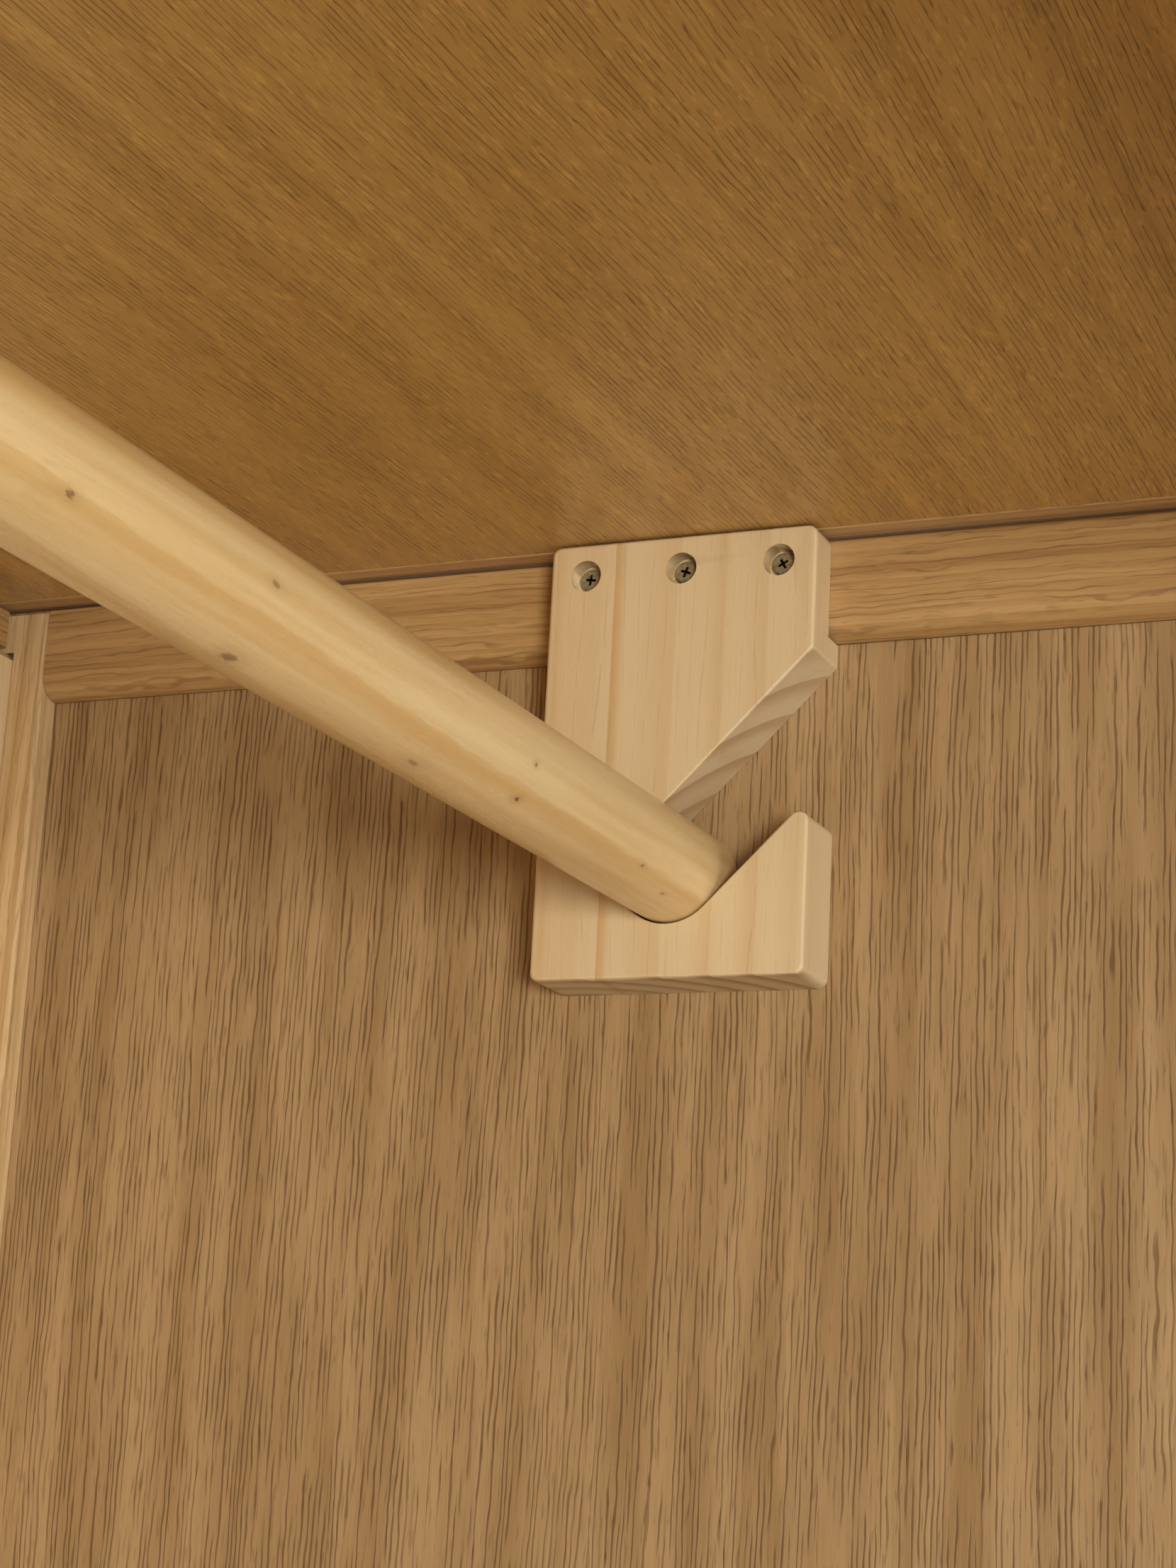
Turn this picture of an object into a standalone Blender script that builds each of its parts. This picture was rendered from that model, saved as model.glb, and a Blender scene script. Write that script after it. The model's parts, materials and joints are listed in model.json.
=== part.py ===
"""A two-door wardrobe of framed and panelled oak, with a hanging rail that lifts out of two slotted brackets.

Metres, +Z up, the doors at the -Y side, the feet on Z 0. The doors stand open at rest.
The origin is on the floor, in the middle of the box that the open wardrobe fills.
"""

import math

import bmesh
import bpy
from mathutils import Matrix, Vector

# Overall sizes of the carcass, and how far the doors stand open
WIDTH = 1.000
DEPTH = 0.560
HEIGHT = 1.900
LEG = 0.100
OPEN_ANGLE = math.radians(105)

# Clearances
GAP = 0.0003  # between pieces that meet
SHADOW_GAP = 0.0011  # between the top board and the posts and side rails
DOOR_GAP = 0.003  # between the two doors
HINGE_GAP = 0.002  # between a door's edge and its post
SWING_GAP = 0.002  # above and below a door
SLIP = 0.0005  # spare depth at the end of a groove, mortise or blind hole

# Carcass
POST = 0.040
EASE = 0.0012  # softened edges of the oak
SIDE_RAIL = 0.030
TOP_RAIL_HIGH = 0.0312
RAIL_ROUND = 0.008  # lower inside edge of the side top rail
RAIL_PROUD = 0.0095  # side rail and post stand this much in front of the side panel
PANEL = 0.008
GROOVE = 0.009
FRONT_RAIL = 0.022
FRONT_RAIL_HIGH = 0.050
BACK_RAIL = 0.022
BACK_RAIL_HIGH = 0.050
BACK_RAIL_IN = 0.015  # from the front edge of the back post to the face of the back rail
BACK_LIP = 0.0137  # height of the back rail that shows beside the back panel
BACK_PANEL = 0.012
BACK_PANEL_PROUD = 0.002  # in front of the back rail's face
BACK_PANEL_EASE = 0.0025
TENON = 0.018
TENON_THICK = 0.008
TENON_EDGE = 0.005  # shoulder above or below a tenon
TENON_ROOT = 0.004  # how far a tenon's solid starts inside its rail

# Top and bottom boards
TOP_THICK = 0.022
TOP_OVERHANG = 0.012
EDGING_IN = 0.008  # the end strip of the top starts this far inside the posts
BOARD_THICK = 0.018
BOARD_LIP = 0.002  # bottom board below the upper edge of the front bottom rail

# Hanging rail and its brackets
HANGER_RADIUS = 0.016
HANGER_DROP = 0.107  # rail axis below the top board
HANGER_END = 0.004  # rail end to side panel
HANGER_EASE = 0.002
SEAT_CLEAR = 0.0005
SLOT_ANGLE = math.radians(45)
BRACKET_OVER_RAIL = 0.014  # bracket thickness in front of the side rail
BRACKET_BESIDE = 0.0275  # wood in front of and behind the seat
BRACKET_UNDER = 0.0167  # wood under the seat
BRACKET_UNDER_TOP = 0.0006
BRACKET_EASE = 0.0009
BRACKET_BACK_EASE = 0.0014  # the top and back edges are sanded more
BRACKET_SEAT_EASE = 0.0005
BRACKET_CORNER = 0.003
BRACKET_BACK_CORNER = 0.003
BRACKET_MOUTH_CORNER = 0.002
SCREW_FROM_SIDE = 0.012  # screw to the bracket's front and back edges
SCREW_BELOW_TOP = 0.0105
SCREW_RADIUS = 0.002
SCREW_LONG = 0.026
SCREW_TIP = 0.004
HEAD_RADIUS = 0.0038
HEAD_HIGH = 0.0024
COUNTERBORE_RADIUS = 0.0051
COUNTERBORE = 0.0065

# Doors
DOOR = 0.020
STILE = 0.070
DOOR_TOP_RAIL = 0.070
DOOR_BOTTOM_RAIL = 0.090
DOOR_TENON = 0.026
KNOB_HEIGHT = 1.000
KNOB_RADIUS = 0.016
KNOB_OUT = 0.030
SPIGOT_RADIUS = 0.004
SPIGOT = 0.012
# The knob's outline as shares of how far it stands out and of its radius
KNOB_CURVE = (
    (0.14, 0.60),
    (0.36, 0.42),
    (0.52, 0.55),
    (0.66, 0.90),
    (0.78, 1.00),
    (0.90, 0.88),
    (0.98, 0.50),
    (1.00, 0.00),
)

# Butt hinges
HINGE_HIGH = 0.070
HINGE_END = 0.130  # door end to the middle of its outer hinge
HINGE_COUNT = 3
LEAF = 0.0016
LEAF_WIDE = 0.0175  # from the front faces to the far edge of a leaf
LEAF_SPREAD = 0.0008  # between the two leaves of a closed hinge
KNUCKLES = 5
KNUCKLE_RADIUS = 0.0035
PIN_RADIUS = 0.0015
PIN_HEAD = 0.0032

# Magnetic catch
CATCH_WIDE = 0.044
CATCH_DEEP = 0.014
CATCH_HIGH = 0.032
CATCH_BELOW = 0.014  # below the front top rail

# Flats that stand for a full circle, or for one rounded corner
CORNER_FLATS = 6
SEAT_FLATS = 48
HANGER_FLATS = 48
SCREW_FLATS = 12
HOLE_FLATS = 24
KNOB_FLATS = 24
KNUCKLE_FLATS = 12
PIN_FLATS = 8

# Planes and lines that several pieces share
HALF = WIDTH / 2
FRONT = -DEPTH / 2
BACK = DEPTH / 2
POST_IN = HALF - POST
POST_BACK_EDGE = FRONT + POST  # the faces of the posts that look at the side panel
POST_FRONT_EDGE = BACK - POST
TOP_UNDER = HEIGHT - TOP_THICK
RAIL_TOP = TOP_UNDER - SHADOW_GAP
RAIL_UNDER = RAIL_TOP - TOP_RAIL_HIGH
SIDE_FACE = POST_IN + RAIL_PROUD
BACK_RAIL_FACE = POST_FRONT_EDGE + BACK_RAIL_IN
BACK_FACE = BACK_RAIL_FACE - BACK_PANEL_PROUD
BACK_PANEL_REAR = BACK_FACE + BACK_PANEL
FRONT_TOP_UNDER = TOP_UNDER - GAP - FRONT_RAIL_HIGH
BOARD_TOP = LEG + FRONT_RAIL_HIGH - BOARD_LIP
BOARD_UNDER = BOARD_TOP - BOARD_THICK
HANGER_Z = TOP_UNDER - HANGER_DROP
BRACKET_FACE = POST_IN - BRACKET_OVER_RAIL
BRACKET_TOP = TOP_UNDER - BRACKET_UNDER_TOP
SEAT_RADIUS = HANGER_RADIUS + SEAT_CLEAR
BRACKET_HALF = SEAT_RADIUS + BRACKET_BESIDE
SCREW_PITCH = BRACKET_HALF - SCREW_FROM_SIDE
DOOR_LOW = LEG + FRONT_RAIL_HIGH + SWING_GAP
DOOR_HIGH = FRONT_TOP_UNDER - SWING_GAP
DOOR_EDGE = POST_IN - HINGE_GAP
PIN_X = POST_IN - HINGE_GAP / 2
PIN_Y = FRONT - KNUCKLE_RADIUS - GAP
SIDES = (("left", -1), ("right", 1))

# How far forward the open door reaches from its pin, which places the origin
DOOR_REACH = (PIN_X - DOOR_GAP / 2) * math.sin(OPEN_ANGLE)
DOOR_REACH -= (FRONT + DOOR - PIN_Y) * math.cos(OPEN_ANGLE)
ORIGIN_SHIFT = (DOOR_REACH - PIN_Y - BACK) / 2

# Colour, roughness and metallic value of each finish
FINISHES = {
    "oak": ((0.340, 0.180, 0.062), 0.45, 0.0),
    "oak_veneer": ((0.290, 0.155, 0.060), 0.48, 0.0),
    "top_veneer": ((0.245, 0.112, 0.026), 0.42, 0.0),
    "pine": ((0.580, 0.380, 0.180), 0.50, 0.0),
    "pine_panel": ((0.560, 0.380, 0.190), 0.55, 0.0),
    "turned_pine": ((0.620, 0.390, 0.160), 0.32, 0.0),
    "screw_steel": ((0.160, 0.130, 0.090), 0.35, 1.0),
    "hinge_brass": ((0.420, 0.290, 0.120), 0.38, 1.0),
    "catch_plastic": ((0.250, 0.140, 0.070), 0.40, 0.0),
}


def clear_scene():
    for old in list(bpy.data.objects):
        bpy.data.objects.remove(old, do_unlink=True)


def empty(name, location, parent=None):
    """A guide that pieces hang on; it is not a piece itself."""
    guide = bpy.data.objects.new(name, None)
    bpy.context.scene.collection.objects.link(guide)
    guide.location = location
    guide.parent = parent
    return guide


def place(name, solid, parent):
    """An object with this bmesh, whose points are given from the carcass's own centre line on the floor."""
    bmesh.ops.recalc_face_normals(solid, faces=solid.faces)
    mesh = bpy.data.meshes.new(name)
    solid.to_mesh(mesh)
    solid.free()
    piece = bpy.data.objects.new(name, mesh)
    bpy.context.scene.collection.objects.link(piece)
    if parent is not None:
        piece.parent = parent
        piece.location = -parent.location if parent.parent else (0, 0, 0)
    return piece


def paint(piece, finish):
    """Gives the piece a material of its own in this finish."""
    colour, roughness, metallic = FINISHES[finish]
    material = bpy.data.materials.new(piece.name)
    material.use_nodes = True
    shader = material.node_tree.nodes["Principled BSDF"]
    shader.inputs["Base Color"].default_value = (*colour, 1.0)
    shader.inputs["Roughness"].default_value = roughness
    shader.inputs["Metallic"].default_value = metallic
    piece.data.materials.append(material)
    return piece


def smooth(piece):
    """Shades a round piece smooth, with its edges kept sharp."""
    piece.data.shade_smooth()
    piece.data.set_sharp_from_angle(angle=math.radians(35))
    return piece


def box_solid(low, high):
    low, high = Vector(low), Vector(high)
    solid = bmesh.new()
    size = high - low
    matrix = Matrix.Translation((low + high) / 2) @ Matrix.Diagonal((*size, 1.0))
    bmesh.ops.create_cube(solid, size=1.0, matrix=matrix)
    return solid


def prism_solid(outline, across, start, end):
    """An outline in the plane square to the axis `across`, extruded along it from start to end."""
    order = {"X": (2, 0, 1), "Y": (0, 2, 1), "Z": (0, 1, 2)}[across]

    def point(u, v, w):
        return Vector([(u, v, w)[k] for k in order])

    solid = bmesh.new()
    face = solid.faces.new([solid.verts.new(point(u, v, start)) for u, v in outline])
    extruded = bmesh.ops.extrude_face_region(solid, geom=[face], use_keep_orig=True)
    moved = [item for item in extruded["geom"] if isinstance(item, bmesh.types.BMVert)]
    bmesh.ops.translate(solid, verts=moved, vec=point(0, 0, end - start))
    return solid


def cylinder_solid(radius, start, end, sides):
    """A cylinder from one point to another."""
    start, end = Vector(start), Vector(end)
    turn = Vector((0, 0, 1)).rotation_difference(end - start).to_matrix().to_4x4()
    solid = bmesh.new()
    bmesh.ops.create_cone(
        solid,
        cap_ends=True,
        segments=sides,
        radius1=radius,
        radius2=radius,
        depth=(end - start).length,
        matrix=Matrix.Translation((start + end) / 2) @ turn,
    )
    return solid


def turned_solid(profile, start, direction, sides):
    """A profile of (distance along, radius) spun about the axis; its first and last radius are 0."""
    solid = bmesh.new()
    points = [solid.verts.new((radius, 0, along)) for along, radius in profile]
    edges = [solid.edges.new(pair) for pair in zip(points, points[1:])]
    bmesh.ops.spin(
        solid,
        geom=points + edges,
        cent=(0, 0, 0),
        axis=(0, 0, 1),
        angle=math.tau,
        steps=sides,
        use_merge=True,
    )
    bmesh.ops.remove_doubles(solid, verts=solid.verts, dist=1e-6)
    turn = Vector((0, 0, 1)).rotation_difference(Vector(direction)).to_matrix().to_4x4()
    bmesh.ops.transform(solid, matrix=Matrix.Translation(start) @ turn, verts=solid.verts)
    return solid


def rounded(corners):
    """The outline through corners (u, v, radius), each turned by an arc of its radius."""
    outline = []
    for k, (u, v, radius) in enumerate(corners):
        here = Vector((u, v))
        if radius == 0:
            outline.append(here)
            continue
        back = (Vector(corners[k - 1][:2]) - here).normalized()
        ahead = (Vector(corners[(k + 1) % len(corners)][:2]) - here).normalized()
        half = math.acos(max(-1.0, min(1.0, back.dot(ahead)))) / 2
        centre = here + (back + ahead).normalized() * (radius / math.sin(half))
        first = here + back * (radius / math.tan(half)) - centre
        last = here + ahead * (radius / math.tan(half)) - centre
        begin = math.atan2(first.y, first.x)
        sweep = (math.atan2(last.y, last.x) - begin + math.pi) % math.tau - math.pi
        for step in range(CORNER_FLATS + 1):
            angle = begin + sweep * step / CORNER_FLATS
            outline.append(centre + radius * Vector((math.cos(angle), math.sin(angle))))
    return outline


def mirrored(side, low, high):
    """The box's corners on this side: given for the right side, turned round for the left."""
    xs = sorted((side * low[0], side * high[0]))
    return (xs[0], *low[1:]), (xs[1], *high[1:])


def ease(piece, width, segments=1):
    """Softens the piece's sharp edges, before anything is cut in it."""
    bevel = piece.modifiers.new("eased_edges", "BEVEL")
    bevel.width = width
    bevel.segments = segments
    bevel.limit_method = "ANGLE"
    bevel.angle_limit = math.radians(60)
    return piece


def shape(piece, cutter_solid, operation):
    """Adds a Boolean with a helper object that no render shows."""
    helper = place(f"{piece.name}_helper", cutter_solid, piece.parent)
    helper.hide_render = True
    helper.display_type = "WIRE"
    boolean = piece.modifiers.new(operation.lower(), "BOOLEAN")
    boolean.operation = operation
    boolean.solver = "EXACT"
    boolean.object = helper
    return piece


def cut(piece, low, high):
    return shape(piece, box_solid(low, high), "DIFFERENCE")


def board(name, low, high, finish, parent, width=EASE):
    """A plain board with softened edges."""
    return paint(ease(place(name, box_solid(low, high), parent), width), finish)


def room_for(low, high):
    """The box that cuts a groove or mortise for this one: larger by the gap on every side."""
    return [value - GAP for value in low], [value + GAP for value in high]


# Tenons and mortises. Each box is given for the right side; the left one is its mirror.


def side_tenons(low_z, high_z):
    """The two tenons of a side rail, at its front and back end."""
    middle = POST_IN + SIDE_RAIL / 2
    for shoulder, reach in ((POST_BACK_EDGE, -TENON), (POST_FRONT_EDGE, TENON)):
        ys = sorted((shoulder, shoulder + reach))
        yield (middle - TENON_THICK / 2, ys[0], low_z), (middle + TENON_THICK / 2, ys[1], high_z)


def top_side_tenons():
    return side_tenons(RAIL_UNDER + GROOVE + TENON_EDGE, RAIL_TOP - TENON_EDGE)


def bottom_side_tenons():
    return side_tenons(LEG + TENON_EDGE, BOARD_UNDER - GAP - GROOVE - TENON_EDGE)


def cross_tenon(middle_y, low_z, high_z):
    """The right-hand tenon of a front or back rail."""
    low = (POST_IN, middle_y - TENON_THICK / 2, low_z + TENON_EDGE)
    return low, (POST_IN + TENON, middle_y + TENON_THICK / 2, high_z - TENON_EDGE)


def front_tenons():
    middle = FRONT + FRONT_RAIL / 2
    return (
        cross_tenon(middle, FRONT_TOP_UNDER, TOP_UNDER - GAP),
        cross_tenon(middle, LEG, LEG + FRONT_RAIL_HIGH),
    )


def back_tenons():
    middle = (BACK_PANEL_REAR + GAP + BACK_RAIL_FACE + BACK_RAIL) / 2
    return (
        cross_tenon(middle, TOP_UNDER - GAP - BACK_RAIL_HIGH, TOP_UNDER - GAP),
        cross_tenon(middle, LEG, LEG + BACK_RAIL_HIGH),
    )


def add_tenon(piece, low, high, axis, shoulder):
    """Joins a tenon to its rail; it starts well inside the rail."""
    low, high = list(low), list(high)
    if abs(low[axis] - shoulder) < abs(high[axis] - shoulder):
        low[axis] -= TENON_ROOT
    else:
        high[axis] += TENON_ROOT
    return shape(piece, box_solid(low, high), "UNION")


def side_panel_box():
    """Corners of the right side panel, its edges in their grooves."""
    held = GROOVE - SLIP
    low = (SIDE_FACE, POST_BACK_EDGE - held, BOARD_UNDER - GAP - held)
    return low, (SIDE_FACE + PANEL, POST_FRONT_EDGE + held, RAIL_UNDER + held)


def back_panel_box():
    held = GROOVE - SLIP
    low = (-POST_IN - held, BACK_FACE, LEG + BACK_LIP + BACK_PANEL_PROUD)
    return low, (POST_IN + held, BACK_PANEL_REAR, TOP_UNDER - GAP - BACK_LIP - BACK_PANEL_PROUD)


def hinge_heights():
    low = DOOR_LOW + HINGE_END
    step = (DOOR_HIGH - HINGE_END - low) / (HINGE_COUNT - 1)
    return [low + step * k for k in range(HINGE_COUNT)]


def leaf_box(to_post, height):
    """The right hinge's flat leaf on the post (to_post 1) or on the door (-1)."""
    near = PIN_X + to_post * LEAF_SPREAD / 2
    xs = sorted((near, near + to_post * LEAF))
    low = (xs[0], PIN_Y + PIN_RADIUS + GAP + LEAF / 4, height - HINGE_HIGH / 2)
    return low, (xs[1], FRONT + LEAF_WIDE, height + HINGE_HIGH / 2)


def leaf_mortise(to_post, height):
    """The shallow recess for a leaf, open at the front and at the edge of its post or door."""
    low, high = room_for(*leaf_box(to_post, height))
    low[1] = FRONT - SLIP
    if to_post > 0:
        low[0] -= HINGE_GAP
    else:
        high[0] += HINGE_GAP
    return low, high


# Carcass


def make_post(name, side, front, parent):
    near, far = (FRONT, FRONT + POST) if front else (BACK - POST, BACK)
    piece = board(name, *mirrored(side, (POST_IN, near, 0), (HALF, far, RAIL_TOP)), "oak", parent)
    cut(piece, *mirrored(side, *room_for(*side_panel_box())))
    for low, high in [*top_side_tenons(), *bottom_side_tenons()]:
        if near < (low[1] + high[1]) / 2 < far:
            cut(piece, *mirrored(side, *room_for(low, high)))
    for low, high in front_tenons() if front else back_tenons():
        cut(piece, *mirrored(side, *room_for(low, high)))
    if front:
        for height in hinge_heights():
            cut(piece, *mirrored(side, *leaf_mortise(1, height)))
    else:
        cut(piece, *room_for(*back_panel_box()))
    return piece


def side_rail_solid(side, low_z, high_z, round_under):
    inner, outer = POST_IN, POST_IN + SIDE_RAIL
    corners = [
        (side * inner, low_z, RAIL_ROUND if round_under else EASE),
        (side * outer, low_z, EASE),
        (side * outer, high_z, EASE),
        (side * inner, high_z, EASE),
    ]
    return prism_solid(rounded(corners), "Y", POST_BACK_EDGE + GAP, POST_FRONT_EDGE - GAP)


def make_side_rail(name, side, upper, parent):
    low_z, high_z = (RAIL_UNDER, RAIL_TOP) if upper else (LEG, BOARD_UNDER - GAP)
    piece = paint(place(name, side_rail_solid(side, low_z, high_z, upper), parent), "oak")
    smooth(piece)
    tenons = top_side_tenons() if upper else bottom_side_tenons()
    for tenon, shoulder in zip(tenons, (POST_BACK_EDGE, POST_FRONT_EDGE)):
        add_tenon(piece, *mirrored(side, *tenon), 1, shoulder)
    cut(piece, *mirrored(side, *room_for(*side_panel_box())))
    if upper:
        for y in screw_places():
            hole = cylinder_solid(
                SCREW_RADIUS + GAP,
                (side * (POST_IN - SLIP), y, screw_height()),
                (side * (screw_head_x() + SCREW_LONG + SLIP), y, screw_height()),
                SCREW_FLATS,
            )
            shape(piece, hole, "DIFFERENCE")
    return piece


def make_cross_rail(name, low, high, tenon, parent):
    """A rail between the two front posts or the two back posts, with a tenon at each end."""
    piece = board(name, low, high, "oak", parent)
    for side in (-1, 1):
        start, end = mirrored(side, *tenon)
        add_tenon(piece, start, end, 0, side * POST_IN)
    return piece


def make_back_rail(name, upper, parent):
    """A back rail, rebated for the back panel that covers its lower or upper part."""
    low_z = TOP_UNDER - GAP - BACK_RAIL_HIGH if upper else LEG
    inner = POST_IN - GAP
    low = (-inner, BACK_RAIL_FACE, low_z)
    high = (inner, BACK_RAIL_FACE + BACK_RAIL, low_z + BACK_RAIL_HIGH)
    piece = make_cross_rail(name, low, high, back_tenons()[0 if upper else 1], parent)
    rebate_low = (-HALF, BACK_FACE - SLIP, low_z - SLIP if upper else LEG + BACK_LIP)
    rebate_high_z = TOP_UNDER - GAP - BACK_LIP if upper else low_z + BACK_RAIL_HIGH + SLIP
    return cut(piece, rebate_low, (HALF, BACK_PANEL_REAR + GAP, rebate_high_z))


def make_bottom_board(parent):
    """The bottom board rests on the side rails and is notched round the four posts."""
    wide = SIDE_FACE - GAP
    narrow = POST_IN - GAP
    front, back = FRONT + FRONT_RAIL + GAP, BACK_FACE - GAP
    front_notch, back_notch = POST_BACK_EDGE + GAP, POST_FRONT_EDGE - GAP
    right = [(narrow, front), (narrow, front_notch), (wide, front_notch)]
    right += [(wide, back_notch), (narrow, back_notch), (narrow, back)]
    outline = right + [(-x, y) for x, y in reversed(right)]
    solid = prism_solid(outline, "Z", BOARD_UNDER, BOARD_TOP)
    return paint(ease(place("bottom_board", solid, parent), EASE / 2), "oak_veneer")


def make_top(parent):
    """The veneered top board, with a strip of solid oak at each end."""
    joint = POST_IN - EDGING_IN
    front = FRONT - TOP_OVERHANG
    board("top_board", (-joint, front, TOP_UNDER), (joint, BACK, HEIGHT), "top_veneer", parent, EASE / 2)
    for word, side in SIDES:
        low, high = (joint + GAP, front, TOP_UNDER), (HALF + TOP_OVERHANG, BACK, HEIGHT)
        board(f"top_edging_{word}", *mirrored(side, low, high), "oak", parent, EASE / 2)


def make_carcass(parent):
    for word, side in SIDES:
        make_post(f"post_front_{word}", side, True, parent)
        make_post(f"post_back_{word}", side, False, parent)
        make_side_rail(f"side_top_rail_{word}", side, True, parent)
        make_side_rail(f"side_bottom_rail_{word}", side, False, parent)
        board(f"side_panel_{word}", *mirrored(side, *side_panel_box()), "oak_veneer", parent, EASE / 2)
    inner = POST_IN - GAP
    upper, lower = front_tenons()
    for name, low_z, tenon in (("front_top_rail", FRONT_TOP_UNDER, upper), ("front_bottom_rail", LEG, lower)):
        high = (inner, FRONT + FRONT_RAIL, low_z + FRONT_RAIL_HIGH)
        make_cross_rail(name, (-inner, FRONT, low_z), high, tenon, parent)
    make_back_rail("back_top_rail", True, parent)
    make_back_rail("back_bottom_rail", False, parent)
    board("back_panel", *back_panel_box(), "pine_panel", parent, BACK_PANEL_EASE)
    make_bottom_board(parent)
    make_top(parent)


# Hanging rail and brackets


def screw_places():
    return [-SCREW_PITCH, 0.0, SCREW_PITCH]


def screw_height():
    return BRACKET_TOP - SCREW_BELOW_TOP


def screw_head_x():
    """Where the underside of a screw's head lies, in its counterbore."""
    return BRACKET_FACE + COUNTERBORE - GAP


def bracket_outline():
    """The bracket seen from inside the wardrobe, in (Y, Z): a block with a slanted slot open to the front."""
    rise = Vector((-math.cos(SLOT_ANGLE), math.sin(SLOT_ANGLE)))
    square = Vector((math.sin(SLOT_ANGLE), math.cos(SLOT_ANGLE)))
    seat = Vector((0, HANGER_Z))

    def at_front(offset):
        """Where a side of the slot meets the bracket's front edge."""
        start = seat + square * offset
        return start + rise * ((start.x + BRACKET_HALF) / -rise.x)

    upper, lower = at_front(SEAT_RADIUS), at_front(-SEAT_RADIUS)
    arc = []
    for step in range(SEAT_FLATS // 2 + 1):
        angle = math.pi / 2 - SLOT_ANGLE - math.tau * step / SEAT_FLATS
        arc.append((*(seat + SEAT_RADIUS * Vector((math.cos(angle), math.sin(angle)))), 0))
    low_z = HANGER_Z - SEAT_RADIUS - BRACKET_UNDER
    corners = [
        (BRACKET_HALF, BRACKET_TOP, BRACKET_BACK_CORNER),
        (-BRACKET_HALF, BRACKET_TOP, BRACKET_CORNER),
        (*upper, BRACKET_MOUTH_CORNER),
        *arc,
        (*lower, BRACKET_CORNER),
        (-BRACKET_HALF, low_z, BRACKET_CORNER),
        (BRACKET_HALF, low_z, BRACKET_CORNER),
    ]
    return rounded(corners)


def drawn_in(outline, amounts):
    """The outline with each point moved into the material by its own amount."""
    count = len(outline)
    doubled_area = sum(outline[k - 1].cross(outline[k]) for k in range(count))
    sign = math.copysign(1.0, doubled_area)
    moved = []
    for k, here in enumerate(outline):
        back = (here - outline[k - 1]).normalized()
        ahead = (outline[(k + 1) % count] - here).normalized()
        inward = sign * Vector((-back.y - ahead.y, back.x + ahead.x)).normalized()
        square = sign * inward.dot(Vector((-back.y, back.x)))
        moved.append(here + inward * (amounts[k] / square))
    return moved


def bracket_solid(side):
    """The bracket's block, the edges of its face rounded over by different amounts."""
    outline = bracket_outline()
    seat = Vector((0, HANGER_Z))
    widths = []
    for point in outline:
        if abs((point - seat).length - SEAT_RADIUS) < GAP / 10:
            widths.append(BRACKET_SEAT_EASE)
        else:
            widths.append(BRACKET_BACK_EASE if point.x > SEAT_RADIUS else BRACKET_EASE)
    solid = bmesh.new()
    rows = []
    quarter_steps = 3
    for step in range(quarter_steps + 1):
        angle = math.pi / 2 * step / quarter_steps
        ring = drawn_in(outline, [width * (1 - math.cos(angle)) for width in widths])
        depths = [BRACKET_FACE + width * (1 - math.sin(angle)) for width in widths]
        rows.append([solid.verts.new((side * x, *point)) for x, point in zip(depths, ring)])
    rear = [solid.verts.new((side * (SIDE_FACE - GAP), *point)) for point in outline]
    for low, high in zip([rear] + rows, rows):
        for k in range(len(low)):
            solid.faces.new((low[k - 1], low[k], high[k], high[k - 1]))
    solid.faces.new(rear)
    solid.faces.new(rows[-1])
    return solid


def make_bracket(word, side, parent):
    """A bracket rebated over the side rail, with three counterbored screw holes."""
    piece = smooth(paint(place(f"rail_bracket_{word}", bracket_solid(side), parent), "pine"))
    rebate_low = (POST_IN - GAP, -DEPTH, RAIL_UNDER - GAP)
    cut(piece, *mirrored(side, rebate_low, (HALF, DEPTH, HEIGHT)))
    through = BRACKET_OVER_RAIL + SLIP
    profile = [
        (-SLIP, 0),
        (-SLIP, COUNTERBORE_RADIUS),
        (COUNTERBORE, COUNTERBORE_RADIUS),
        (COUNTERBORE, SCREW_RADIUS + GAP),
        (through, SCREW_RADIUS + GAP),
        (through, 0),
    ]
    for y in screw_places():
        start = (side * BRACKET_FACE, y, screw_height())
        shape(piece, turned_solid(profile, start, (side, 0, 0), HOLE_FLATS), "DIFFERENCE")
    return piece


def make_bracket_screws(word, side, parent):
    """Pan-head wood screws through the bracket into the side rail."""
    crown = 0.55  # flat middle of the head, and height of its rim, as shares
    profile = [
        (-HEAD_HIGH, 0),
        (-HEAD_HIGH, HEAD_RADIUS * crown),
        (-HEAD_HIGH * crown, HEAD_RADIUS),
        (0, HEAD_RADIUS),
        (0, SCREW_RADIUS),
        (SCREW_LONG - SCREW_TIP, SCREW_RADIUS),
        (SCREW_LONG, 0),
    ]
    for number, y in enumerate(screw_places(), start=1):
        start = (side * screw_head_x(), y, screw_height())
        solid = turned_solid(profile, start, (side, 0, 0), SCREW_FLATS)
        smooth(paint(place(f"bracket_screw_{word}_{number}", solid, parent), "screw_steel"))


def make_hanging_rail(parent):
    half = SIDE_FACE - HANGER_END
    length = 2 * half
    middle = HANGER_EASE * (1 - math.sqrt(0.5))  # a point halfway round the eased end
    nose = [(0, HANGER_RADIUS - HANGER_EASE), (middle, HANGER_RADIUS - middle), (HANGER_EASE, HANGER_RADIUS)]
    tail = [(length - along, radius) for along, radius in reversed(nose)]
    profile = [(0, 0), *nose, *tail, (length, 0)]
    solid = turned_solid(profile, (-half, 0, HANGER_Z), (1, 0, 0), HANGER_FLATS)
    axis = empty("hanging_rail_axis", (0, 0, HANGER_Z), parent)
    return smooth(paint(place("hanging_rail", solid, axis), "turned_pine"))


# Doors. Each is made closed, then turned open with its empty, which stands on the hinge pins.


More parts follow.
